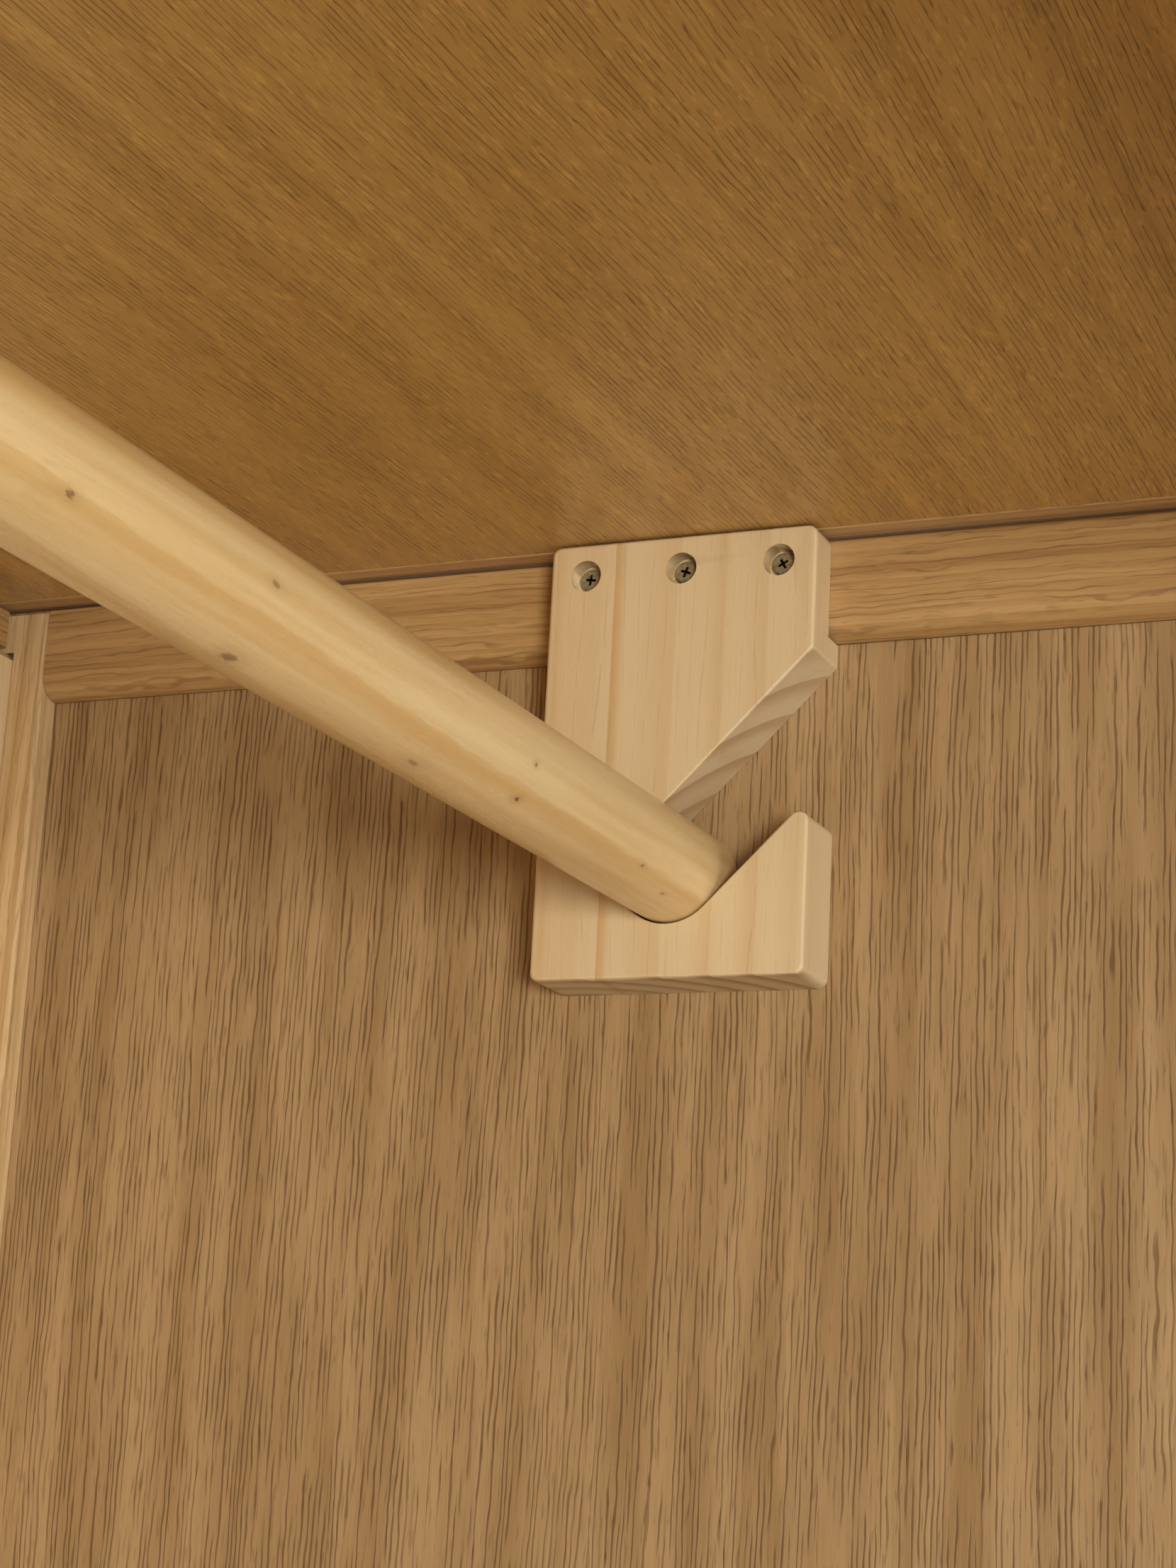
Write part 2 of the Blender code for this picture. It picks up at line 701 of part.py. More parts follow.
def make_door_frame(word, side, parent):
    middle = FRONT + DOOR / 2
    near, far = DOOR_GAP / 2, DOOR_EDGE
    rail_low, rail_high = near + STILE, far - STILE
    held = GROOVE - SLIP
    panel_low = (rail_low - held, middle - PANEL / 2, DOOR_LOW + DOOR_BOTTOM_RAIL - held)
    panel_high = (rail_high + held, middle + PANEL / 2, DOOR_HIGH - DOOR_TOP_RAIL + held)
    groove = mirrored(side, *room_for(panel_low, panel_high))
    tenons = []
    for low_z, high_z in (
        (DOOR_HIGH - DOOR_TOP_RAIL + GROOVE + TENON_EDGE, DOOR_HIGH - TENON_EDGE),
        (DOOR_LOW + TENON_EDGE, DOOR_LOW + DOOR_BOTTOM_RAIL - GROOVE - TENON_EDGE),
    ):
        low_y, high_y = middle - TENON_THICK / 2, middle + TENON_THICK / 2
        tenons.append(
            [
                ((rail_low - DOOR_TENON, low_y, low_z), (rail_low, high_y, high_z)),
                ((rail_high, low_y, low_z), (rail_high + DOOR_TENON, high_y, high_z)),
            ]
        )

    stiles = []
    for kind, start in (("meeting", near), ("hinge", rail_high)):
        low, high = (start, FRONT, DOOR_LOW), (start + STILE, FRONT + DOOR, DOOR_HIGH)
        stile = board(f"door_{word}_{kind}_stile", *mirrored(side, low, high), "oak", parent)
        cut(stile, *groove)
        for pair in tenons:
            cut(stile, *mirrored(side, *room_for(*pair[len(stiles)])))
        stiles.append(stile)
    meeting, hinge = stiles
    for height in hinge_heights():
        cut(hinge, *mirrored(side, *leaf_mortise(-1, height)))
    ends = [(side * (near + STILE / 2), y, KNOB_HEIGHT) for y in (FRONT - SLIP, FRONT + SPIGOT + SLIP)]
    shape(meeting, cylinder_solid(SPIGOT_RADIUS + GAP, *ends, KNOB_FLATS), "DIFFERENCE")

    spans = (("top", DOOR_HIGH - DOOR_TOP_RAIL, DOOR_HIGH), ("bottom", DOOR_LOW, DOOR_LOW + DOOR_BOTTOM_RAIL))
    for (kind, low_z, high_z), pair in zip(spans, tenons):
        low, high = (rail_low + GAP, FRONT, low_z), (rail_high - GAP, FRONT + DOOR, high_z)
        rail = board(f"door_{word}_{kind}_rail", *mirrored(side, low, high), "oak", parent)
        for tenon, shoulder in zip(pair, (rail_low, rail_high)):
            add_tenon(rail, *mirrored(side, *tenon), 0, side * shoulder)
        cut(rail, *groove)
    board(f"door_{word}_panel", *mirrored(side, panel_low, panel_high), "oak_veneer", parent, EASE / 2)


def make_knob(word, side, parent):
    """A turned knob with a spigot glued into the door."""
    profile = [(-SPIGOT, 0), (-SPIGOT, SPIGOT_RADIUS), (GAP, SPIGOT_RADIUS)]
    profile.append((GAP, KNOB_RADIUS * KNOB_CURVE[0][1]))
    profile += [(KNOB_OUT * out, KNOB_RADIUS * radius) for out, radius in KNOB_CURVE]
    start = (side * (DOOR_GAP / 2 + STILE / 2), FRONT, KNOB_HEIGHT)
    solid = turned_solid(profile, start, (0, -1, 0), KNOB_FLATS)
    smooth(paint(place(f"door_{word}_knob", solid, parent), "oak"))


def knuckle_span(number):
    """Lower and upper end of one knuckle, from the middle of its hinge."""
    long = HINGE_HIGH / KNUCKLES
    low = -HINGE_HIGH / 2 + number * long
    return low + GAP / 2, low + long - GAP / 2


def make_leaf(name, side, to_post, height, parent):
    """A flat leaf with its knuckles: the outer and middle ones on the post, the two between on the door."""
    low, high = leaf_box(to_post, height)
    piece = place(name, box_solid(*mirrored(side, low, high)), parent)
    pin = Vector((side * PIN_X, PIN_Y, height))
    up = Vector((0, 0, 1))
    own = [number for number in range(KNUCKLES) if (number % 2 == 0) == (to_post > 0)]
    for number in range(KNUCKLES):
        start, end = knuckle_span(number)
        if number in own:
            tube = cylinder_solid(KNUCKLE_RADIUS, pin + up * start, pin + up * end, KNUCKLE_FLATS)
            shape(piece, tube, "UNION")
        else:
            ends = (pin + up * (start - GAP), pin + up * (end + GAP))
            shape(piece, cylinder_solid(KNUCKLE_RADIUS + GAP, *ends, KNUCKLE_FLATS), "DIFFERENCE")
    bore = cylinder_solid(PIN_RADIUS + GAP, pin - up * HINGE_HIGH, pin + up * HINGE_HIGH, PIN_FLATS)
    shape(piece, bore, "DIFFERENCE")
    return paint(piece, "hinge_brass")


def make_pin(name, side, height, parent):
    """A hinge pin with a small round head at each end."""
    reach = HINGE_HIGH / 2
    under, over = reach + GAP, reach + GAP + PIN_HEAD
    dome = PIN_HEAD * math.sqrt(0.5)
    head = [(under, PIN_RADIUS), (under, PIN_HEAD), (under + dome, dome), (over, 0)]
    profile = [(-along, radius) for along, radius in reversed(head)] + head
    solid = turned_solid(profile, (side * PIN_X, PIN_Y, height), (0, 0, 1), PIN_FLATS)
    smooth(paint(place(name, solid, parent), "hinge_brass"))


def make_doors(parent):
    for word, side in SIDES:
        swing = empty(f"door_{word}_swing", (side * PIN_X, PIN_Y, 0), parent)
        make_door_frame(word, side, swing)
        make_knob(word, side, swing)
        for number, height in enumerate(hinge_heights(), start=1):
            make_leaf(f"hinge_post_leaf_{word}_{number}", side, 1, height, parent)
            make_leaf(f"hinge_door_leaf_{word}_{number}", side, -1, height, swing)
            make_pin(f"hinge_pin_{word}_{number}", side, height, parent)
        swing.rotation_euler.z = side * OPEN_ANGLE


def make_catch(parent):
    """One magnetic catch behind the front top rail, for both doors."""
    near = FRONT + FRONT_RAIL + GAP
    low = (-CATCH_WIDE / 2, near, FRONT_TOP_UNDER - CATCH_BELOW)
    high = (CATCH_WIDE / 2, near + CATCH_DEEP, low[2] + CATCH_HIGH)
    board("door_catch", low, high, "catch_plastic", parent)


def main():
    clear_scene()
    wardrobe = empty("wardrobe", (0, ORIGIN_SHIFT, 0))
    make_carcass(wardrobe)
    for word, side in SIDES:
        make_bracket(word, side, wardrobe)
        make_bracket_screws(word, side, wardrobe)
    make_hanging_rail(wardrobe)
    make_doors(wardrobe)
    make_catch(wardrobe)


main()
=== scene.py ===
"""The looks of the two-door oak wardrobe: its timbers, its metalwork, its light and its camera."""

import json
import math
import random

import bmesh
import bpy
from mathutils import Matrix, Vector

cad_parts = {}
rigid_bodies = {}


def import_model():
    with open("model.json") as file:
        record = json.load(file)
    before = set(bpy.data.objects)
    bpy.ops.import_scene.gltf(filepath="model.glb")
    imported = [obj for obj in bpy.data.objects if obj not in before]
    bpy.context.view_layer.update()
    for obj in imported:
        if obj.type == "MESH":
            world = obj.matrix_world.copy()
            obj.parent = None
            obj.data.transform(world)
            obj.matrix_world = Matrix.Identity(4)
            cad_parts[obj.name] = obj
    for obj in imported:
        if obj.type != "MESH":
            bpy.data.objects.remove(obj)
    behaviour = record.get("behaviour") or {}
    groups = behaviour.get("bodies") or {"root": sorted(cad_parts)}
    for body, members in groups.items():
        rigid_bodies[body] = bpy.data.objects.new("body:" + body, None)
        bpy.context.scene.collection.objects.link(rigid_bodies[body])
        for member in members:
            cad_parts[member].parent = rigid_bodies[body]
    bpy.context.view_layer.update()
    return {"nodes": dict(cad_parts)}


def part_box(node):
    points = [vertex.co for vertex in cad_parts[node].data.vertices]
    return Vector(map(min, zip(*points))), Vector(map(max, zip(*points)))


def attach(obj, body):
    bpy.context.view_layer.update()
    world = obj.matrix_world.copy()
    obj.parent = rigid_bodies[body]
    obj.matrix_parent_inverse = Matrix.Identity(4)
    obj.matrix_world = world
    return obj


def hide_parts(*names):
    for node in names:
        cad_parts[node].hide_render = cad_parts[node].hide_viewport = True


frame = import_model()

SIDES = (("left", -1), ("right", 1))
MM = 0.001

# Planes and lines of the carcass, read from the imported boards
rail_low, rail_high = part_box("hanging_rail")
RAIL_AXIS = (rail_low + rail_high) / 2
RAIL_RADIUS = (rail_high.z - rail_low.z) / 2
PANEL_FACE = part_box("side_panel_right")[0].x
BRACKET_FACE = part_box("rail_bracket_right")[0].x
OPEN_ANGLE = math.radians(105)
HINGE_PIN = {}
for word, side in SIDES:
    pin_low, pin_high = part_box(f"hinge_pin_{word}_1")
    HINGE_PIN[word] = (pin_low + pin_high) / 2


# Shader maths


class Field:
    """A number that varies over a surface. Arithmetic on it adds Math nodes to its finish."""

    def __init__(self, finish, socket):
        self.finish = finish
        self.socket = socket

    def __add__(self, other):
        return self.finish.math("ADD", self, other)

    def __sub__(self, other):
        return self.finish.math("SUBTRACT", self, other)

    def __rsub__(self, other):
        return self.finish.math("SUBTRACT", other, self)

    def __mul__(self, other):
        return self.finish.math("MULTIPLY", self, other)

    def __truediv__(self, other):
        return self.finish.math("DIVIDE", self, other)

    def __abs__(self):
        return self.finish.math("ABSOLUTE", self)

    __radd__ = __add__
    __rmul__ = __mul__


class Finish:
    """One material in the making: node() adds a node, and show() sends the results to its shader."""

    def __init__(self, name):
        self.material = bpy.data.materials.new(name)
        self.material.use_nodes = True
        self.tree = self.material.node_tree
        self.shader = self.tree.nodes["Principled BSDF"]

    def node(self, kind, settings=None, inputs=None, output=0):
        """Adds a node: its settings first, then its sockets' values or links. Gives one output."""
        node = self.tree.nodes.new("ShaderNode" + kind)
        for name, value in (settings or {}).items():
            setattr(node, name, value)
        for name, value in (inputs or {}).items():
            if isinstance(value, Field):
                self.tree.links.new(value.socket, node.inputs[name])
            else:
                node.inputs[name].default_value = value
        return Field(self, node.outputs[output])

    def math(self, operation, *values):
        return self.node("Math", {"operation": operation}, dict(enumerate(values)))

    def step(self, value, low, high):
        """0 below low and 1 above high, with a soft step between."""
        inputs = {"Value": value, "From Min": low, "From Max": high}
        return self.node("MapRange", {"interpolation_type": "SMOOTHSTEP"}, inputs)

    def mix(self, factor, first, second):
        """From the first colour to the second."""
        first, second = [c if isinstance(c, Field) else (*c, 1.0) for c in (first, second)]
        return self.node("Mix", {"data_type": "RGBA"}, {0: factor, 6: first, 7: second}, output=2)

    def shade(self, colour, value):
        """The colour made lighter or darker by a number near 1."""
        factor = self.vector(value, value, value)
        return self.node("VectorMath", {"operation": "MULTIPLY"}, {0: colour, 1: factor})

    def vector(self, x, y, z):
        return self.node("CombineXYZ", None, {0: x, 1: y, 2: z})

    def split(self, vector):
        return [self.node("SeparateXYZ", None, {0: vector}, output=k) for k in range(3)]

    def noise(self, x, y, z, detail=2.0, roughness=0.5):
        """Clouded noise around 0.5 whose patches are about 1 across in each of the three numbers."""
        inputs = {"Vector": self.vector(x, y, z), "Scale": 1.0, "Detail": detail, "Roughness": roughness}
        return self.node("TexNoise", None, inputs)

    def place(self, turn=0.0, pivot=(0.0, 0.0)):
        """The piece's own coordinates in metres; a door's are turned back as if it were closed."""
        place = self.node("TexCoord", None, None, output=3)
        if turn:
            place = self.node("VectorMath", {"operation": "SUBTRACT"}, {0: place, 1: (*pivot, 0.0)})
            place = self.node("VectorRotate", {"rotation_type": "Z_AXIS"}, {"Vector": place, "Angle": -turn})
        return self.split(place)

    def show(self, colour, roughness, height=None, depth=0.0001, **fixed):
        """Sends colour, roughness and the bump's height to the shader, and sets its fixed sockets."""
        inputs = self.shader.inputs
        self.tree.links.new(colour.socket, inputs["Base Color"])
        self.tree.links.new(roughness.socket, inputs["Roughness"])
        for name, value in fixed.items():
            inputs[name.replace("_", " ").title()].default_value = value
        if height is not None:
            bump = self.node("Bump", None, {"Height": height, "Distance": depth, "Strength": 1.0})
            self.tree.links.new(bump.socket, inputs["Normal"])
        return self.material


# Timber


class Timber:
    """How one kind of wood looks. Colours are linear; lengths are in metres."""

    pale = (0.5, 0.3, 0.1)
    deep = (0.3, 0.2, 0.1)
    pore = (0.2, 0.1, 0.05)
    ring = 0.0035  # growth ring
    pith = (0.09, 0.05)  # from the board's middle to the heart of the log, across and into the board
    taper = 0.012  # slant between board and log
    wander = 0.004  # slow sway of the grain
    wobble = 0.0004  # quick sway of the grain
    late = 0.4  # contrast of the dense outer part of each ring
    streak = (0.2, 0.1, 0.05)  # colour of single streaks at given places
    band = (0.016, 0.30)  # broad tone bands: across and along
    band_depth = 0.35
    row = (0.0018, 0.030)  # rows of open pores: spacing and length
    row_wide = 0.13  # half width of a row, as a share of the spacing
    row_depth = 0.5  # depths are contrasts, from 0 to 1
    dash = (0.0010, 0.010)  # single pores: spacing and length
    dash_share = 0.40  # share of the face that holds them
    dash_depth = 0.3
    fibre = (0.0006, 0.025)  # fine fibres: width and length
    fibre_depth = 0.2
    painted_glint_depth = 0.0  # painted glints: pale specks of painted reflection in the pores
    polish = 0.45  # roughness between the pores
    coat = 0.0  # varnish
    end_shade = 0.72  # brightness of the end grain
    bump = 0.00010


class Oak(Timber):
    pale = (0.540, 0.335, 0.140)
    deep = (0.375, 0.212, 0.077)
    pore = (0.180, 0.092, 0.032)
    wander = 0.007
    wobble = 0.0005
    late = 0.6
    band = (0.007, 0.16)
    band_depth = 0.55
    row = (0.0022, 0.035)
    row_wide = 0.15
    row_depth = 0.50
    dash_depth = 0.24


class PaleOak(Oak):
    pale = (0.730, 0.525, 0.285)
    deep = (0.540, 0.352, 0.160)
    pore = (0.280, 0.150, 0.060)
    row_depth = 0.35


class OakVeneer(Timber):
    pale = (0.455, 0.300, 0.148)
    deep = (0.345, 0.212, 0.092)
    pore = (0.150, 0.078, 0.027)
    ring = 0.017
    pith = (0.16, 0.09)
    taper = 0.03
    wander = 0.003
    wobble = 0.00030
    late = 0.35
    band = (0.011, 0.14)
    band_depth = 0.75
    row = (0.0018, 0.030)
    row_wide = 0.24
    row_depth = 0.85
    dash_depth = 0.34


class TopVeneer(Timber):
    pale = (0.500, 0.295, 0.082)
    deep = (0.365, 0.198, 0.046)
    pore = (0.130, 0.060, 0.018)
    ring = 0.016
    pith = (0.12, 0.10)
    wander = 0.004
    wobble = 0.00020
    band = (0.014, 0.20)
    band_depth = 0.45
    row = (0.0017, 0.014)
    row_wide = 0.17
    row_depth = 0.60
    dash = (0.0010, 0.008)
    dash_depth = 0.30
    # Painted glints: pale specks of painted reflection on the top's veneer
    painted_glint_depth = 0.30
    polish = 0.30


class Pine(Timber):
    pale = (0.760, 0.615, 0.395)
    deep = (0.640, 0.450, 0.240)
    pore = (0.36, 0.20, 0.08)
    streak = (0.600, 0.380, 0.165)
    ring = 0.0105
    pith = (0.030, 0.030)
    taper = 0.006
    wander = 0.0010
    wobble = 0.0001
    late = 0.38
    band = (0.012, 0.40)
    band_depth = 0.16
    row = (0.0045, 0.012)
    row_wide = 0.05
    row_depth = 0.22
    dash = (0.0005, 0.0025)
    dash_share = 0.36
    dash_depth = 0.14
    fibre = (0.0004, 0.012)
    fibre_depth = 0.07
    polish = 0.48
    end_shade = 0.74
    bump = 0.00004


class PinePanel(Pine):
    pale = (0.800, 0.630, 0.390)
    deep = (0.690, 0.500, 0.260)
    pith = (0.10, 0.05)
    wander = 0.004
    late = 0.5


class TurnedPine(Pine):
    pale = (0.740, 0.560, 0.300)
    deep = (0.610, 0.390, 0.160)
    pith = (0.004, 0.007)
    ring = 0.0060
    taper = 0.010
    wander = 0.0016
    wobble = 0.0002
    late = 0.55
    band = (0.006, 0.22)
    band_depth = 0.60
    row_depth = 0.10
    polish = 0.30
    coat = 0.30


# Where a log that lies along each axis has the heart that is given
LOG_MIDDLE = {"X": 0.0, "Y": RAIL_AXIS.y, "Z": 1.0}


def wood(
    name, timber, grain, face, seed, turn=0.0, pivot=(0.0, 0.0), marks=(), streaks=(), heart=None, board=None
):
    """One board's timber. The heart of its log is given, or drawn at random round the board's box."""
    draw = random.Random(seed)
    finish = Finish(name)
    axes = dict(zip("XYZ", finish.place(turn, pivot)))
    cross = next(axis for axis in "XYZ" if axis not in (grain, face))
    along, across, deep = axes[grain], axes[cross], axes[face]
    a, b, c = [draw.uniform(-40, 40) for _ in range(3)]
    heart_across = timber.pith[0] * draw.uniform(0.5, 1.0) * draw.choice((-1, 1))
    heart_deep = timber.pith[1] * draw.uniform(0.7, 1.3)
    if heart:
        heart_across, heart_deep = heart
    elif board:
        low, high = board
        centre = dict(zip("XYZ", (low + high) / 2))
        heart_across += centre[cross]
        heart_deep += centre[face]
    taper = timber.taper * draw.choice((-1, 1)) * draw.uniform(0.6, 1.2)

    # The grain's sway moves every part of the figure together
    sway = finish.noise(along * 2.2 + a, across * 6.0 + b, deep * 6.0 + c, 2.0)
    quick = finish.noise(along * 70.0 + b, across * 260.0, deep * 260.0 + a, 1.0)
    drift = (sway - 0.5) * (timber.wander * 4.0) + (quick - 0.5) * (timber.wobble * 4.0)
    across_sway = across + drift
    deep_sway = deep + drift * 0.5

    # Growth rings round the heart of the log
    u = across_sway - heart_across
    v = deep_sway - heart_deep + (along - LOG_MIDDLE[grain]) * taper
    radius = finish.math("SQRT", u * u + v * v)
    ring = finish.math("FRACT", radius / timber.ring + a)
    uneven = finish.noise(radius * 160.0, a, b, 1.0)
    late = finish.step(ring, 0.35, 0.93) * (1.0 - finish.step(ring, 0.95, 1.0)) * (uneven * 1.4 + 0.1)

    # Broad tone bands, fine fibres, rows of pores and single pores
    wide, long = timber.band
    band = finish.noise(along / long + c, across_sway / wide + a, deep_sway / wide, 3.0, 0.55)
    wide, long = timber.fibre
    fibre = finish.noise(along / long + b, across_sway / wide, deep_sway / wide + c, 2.0, 0.6)
    wide, long = timber.row
    spread = finish.noise(along / 0.12 + a, across / 0.009, deep / 0.009, 1.0)
    count = (across_sway + deep_sway * 0.83) / wide + spread * 2.0
    order = finish.math("FLOOR", count)
    off_row = abs(finish.math("FRACT", count) - 0.5)
    gaps = finish.noise(along / long + order * 3.7, order * 7.7, a, 1.5)
    thick = finish.noise(along / (long * 0.3), order * 5.3 + b, c, 1.0)
    edge = (thick - 0.5) * timber.row_wide + timber.row_wide
    row = (1.0 - finish.step(off_row / edge, 0.35, 1.0)) * finish.step(gaps, 0.40, 0.54)
    row = row * (finish.step(band, 0.25, 0.60) * 0.45 + 0.55)
    wide, long = timber.dash
    spots = finish.noise(along / long + b, across_sway / wide + c, deep_sway / wide + a, 1.5, 0.6)
    dash = finish.step(spots, 1.0 - timber.dash_share, 1.08 - timber.dash_share)
    pore = finish.math("MINIMUM", row * timber.row_depth + dash * timber.dash_depth, 0.95)

    tone = late * timber.late + (band - 0.5) * (timber.band_depth * 4.0) + 0.32
    tone = finish.math("MAXIMUM", finish.math("MINIMUM", tone, 1.0), 0.0)
    colour = finish.mix(tone, timber.pale, timber.deep)
    for place, fade, edge_wide, strength in streaks:
        streak = finish.step(across_sway, place - fade, place)
        streak = streak * (1.0 - finish.step(across_sway, place, place + edge_wide))
        colour = finish.mix(streak * strength, colour, timber.streak)
    # Painted highlight: pale specks lighten the colour where reflections glint in the pores
    if timber.painted_glint_depth:
        glint_noise = finish.noise(along * 150.0 + a, across_sway * 700.0, deep * 700.0, 1.0)
        painted_glint = finish.step(glint_noise, 0.60, 0.68) * timber.painted_glint_depth
        colour = finish.mix(painted_glint, colour, tuple(min(1.0, part * 1.5) for part in timber.pale))
    colour = finish.mix(pore, colour, timber.pore)
    colour = finish.shade(colour, (fibre - 0.5) * (timber.fibre_depth * 2.0) + 1.0)

    # End grain is darker, and shows its rings more
    normal = finish.node("TexCoord", None, None, output=1)
    if turn:
        normal = finish.node("VectorRotate", {"rotation_type": "Z_AXIS"}, {"Vector": normal, "Angle": -turn})
    facing = abs(dict(zip("XYZ", finish.split(normal)))[grain])
    ends = finish.step(facing, 0.35, 0.95)
    colour = finish.mix(ends * late * 0.75, colour, timber.pore)
    colour = finish.shade(colour, 1.0 - ends * (1.0 - timber.end_shade))

    height = fibre * 0.35 - pore * 1.1 + late * 0.12
    for place, size, stretch, strength in marks:
        spot, ring_spot = knot(finish, (along, across, deep), place, size, stretch)
        colour = finish.mix(ring_spot * (0.35 * strength), colour, timber.pore)
        colour = finish.mix(spot * strength, colour, tuple(part * 0.35 for part in timber.pore))
        height = height - spot * 0.8
    gloss = finish.noise(along * 9.0 + c, across * 40.0, deep * 40.0, 2.0)
    roughness = pore * 0.30 + (gloss - 0.5) * 0.22 + (fibre - 0.5) * 0.12 + ends * 0.12 + timber.polish
    return finish.show(colour, roughness, height, timber.bump, coat_weight=timber.coat, coat_roughness=0.22)


def knot(finish, axes, place, size, stretch):
    """A small knot, longer along the grain: gives its dark heart and the stain round it."""
    ragged = finish.noise(axes[0] * 500.0, axes[1] * 900.0, axes[2] * 900.0, 2.0)
    along, across, deep = [axis - centre for axis, centre in zip(axes, place)]
    along = along / stretch
    reach = finish.math("SQRT", along * along + across * across + deep * deep) / size + (ragged - 0.5) * 1.4
    return 1.0 - finish.step(reach, 0.25, 0.75), 1.0 - finish.step(reach, 0.5, 2.4)


# Metal and plastic


def metal(name, bright, dull, roughness):
    """A plated metal, finely brushed and tarnished in patches."""
    finish = Finish(name)
    x, y, z = finish.place()
    patches = finish.noise(x * 170.0, y * 170.0, z * 170.0, 4.0, 0.6)
    brushed = finish.noise(x * 900.0, y * 900.0, z * 5000.0, 2.0)
    scuffs = finish.step(finish.noise(x * 600.0, y * 600.0, z * 600.0, 3.0), 0.58, 0.66)
    tone = finish.step(patches, 0.38, 0.66) * 0.6
    colour = finish.shade(finish.mix(tone, bright, dull), brushed * 0.3 + 0.85)
    rough = tone * 0.25 + brushed * 0.12 + scuffs * 0.15 + roughness
    return finish.show(colour, rough, brushed * 0.4 + scuffs * 0.5, 0.00002, metallic=1.0)


def moulded(name, colour, roughness):
    """Moulded plastic with a fine satin texture."""
    finish = Finish(name)
    x, y, z = finish.place()
    grain = finish.noise(x * 2500.0, y * 2500.0, z * 2500.0, 2.0)
    patches = finish.noise(x * 60.0, y * 60.0, z * 60.0, 3.0)
    shade = finish.shade(finish.mix(patches, colour, tuple(part * 0.8 for part in colour)), grain * 0.2 + 0.9)
    return finish.show(shade, grain * 0.2 + patches * 0.1 + roughness, grain, 0.00003)


# Pieces made here


SHARP_EDGE = math.radians(32)  # edges that turn more than this stay sharp


def piece_of(name, mesh, material, body, node):
    """A visible piece that rides on a body and stands for a CAD node."""
    mesh.materials.clear()
    mesh.materials.append(material)
    mesh.shade_smooth()
    mesh.set_sharp_from_angle(angle=SHARP_EDGE)
    piece = bpy.data.objects.new(name, mesh)
    bpy.context.scene.collection.objects.link(piece)
    weighted = piece.modifiers.new("flat_faces_stay_flat", "WEIGHTED_NORMAL")
    weighted.keep_sharp = True
    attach(piece, body)
    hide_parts(node)


def mesh_of(name, solid):
    bmesh.ops.recalc_face_normals(solid, faces=solid.faces)
    mesh = bpy.data.meshes.new(name)
    solid.to_mesh(mesh)
    solid.free()
    return mesh


def turned(profile, steps):
    """A (distance, radius) profile spun about Z; its ends have radius 0."""
    solid = bmesh.new()
    rings = []
    for distance, radius in profile:
        count = 1 if radius == 0 else steps
        angles = [math.tau * k / steps for k in range(count)]
        points = [(radius * math.cos(t), radius * math.sin(t), distance) for t in angles]
        rings.append([solid.verts.new(point) for point in points])
    for low, high in zip(rings, rings[1:]):
        for k in range(steps):
            lower = [low[(k - 1) % len(low)], low[k % len(low)]]
            upper = [high[k % len(high)], high[(k - 1) % len(high)]]
            solid.faces.new(list(dict.fromkeys(lower + upper)))
    return solid


def toward(direction):
    """The turn that takes +Z to this direction."""
    return Vector((0, 0, 1)).rotation_difference(Vector(direction)).to_matrix().to_4x4()


def smoothed_copy(node):
    """The node's own solid joined up again, so that its rounded edges can be shaded smooth."""
    solid = bmesh.new()
    solid.from_mesh(frame["nodes"][node].data)
    bmesh.ops.remove_doubles(solid, verts=solid.verts, dist=1e-6)
    bmesh.ops.dissolve_limit(solid, angle_limit=math.radians(0.5), verts=solid.verts, edges=solid.edges)
    return mesh_of(node, solid)


def make_hanging_rail():
    """The turned pine rail, its ends rounded over, with the small knots of its wood."""
    reach = rail_high.x - rail_low.x
    ease = 2 * MM
    quarter = [math.pi / 2 * k / 6 for k in range(7)]
    nose = [(ease * (1 - math.sin(t)), RAIL_RADIUS - ease * (1 - math.cos(t))) for t in reversed(quarter)]
    spans = 60
    straight = [(ease + (reach - 2 * ease) * k / spans, RAIL_RADIUS) for k in range(1, spans)]
    profile = [(0, 0), *nose, *straight]
    profile += [(reach - along, radius) for along, radius in reversed(nose)] + [(reach, 0)]
    solid = turned(profile, 96)
    place = Matrix.Translation((rail_low.x, RAIL_AXIS.y, RAIL_AXIS.z)) @ toward((1, 0, 0))
    bmesh.ops.transform(solid, matrix=place, verts=solid.verts)
    # Each knot: distance from the right-hand end in metres, angle above the front in degrees,
    # size in millimetres, stretch along the grain, strength
    knots = (
        (0.294, -4, 1.6, 1.6, 0.5),
        (0.290, -78, 2.4, 2.2, 0.7),
        (0.200, -75, 1.8, 2.6, 0.5),
        (0.151, -51, 1.3, 1.8, 0.9),
        (0.152, -13, 1.0, 1.4, 0.7),
        (0.068, -42, 1.0, 2.2, 0.6),
        (0.044, -57, 0.9, 2.0, 0.6),
        (0.372, -30, 1.5, 2.0, 0.7),
        (0.521, 40, 2.0, 2.0, 0.7),
        (0.640, -60, 1.4, 1.8, 0.8),
        (0.803, 15, 1.8, 2.2, 0.6),
    )
    marks = []
    for from_end, angle, size, stretch, strength in knots:
        turn = math.radians(angle)
        across = RAIL_AXIS.y - RAIL_RADIUS * math.cos(turn)
        high = RAIL_AXIS.z + RAIL_RADIUS * math.sin(turn)
        marks.append(((rail_high.x - from_end, across, high), size * MM, stretch, strength))
    heart = (RAIL_AXIS.y + 4 * MM, RAIL_AXIS.z - 7 * MM)
    material = wood("turned_pine_rail", TurnedPine, "X", "Z", 7, marks=marks, heart=heart)
    mesh = mesh_of("turned_hanging_rail", solid)
    piece_of("turned_hanging_rail", mesh, material, "hanging_rail", "hanging_rail")


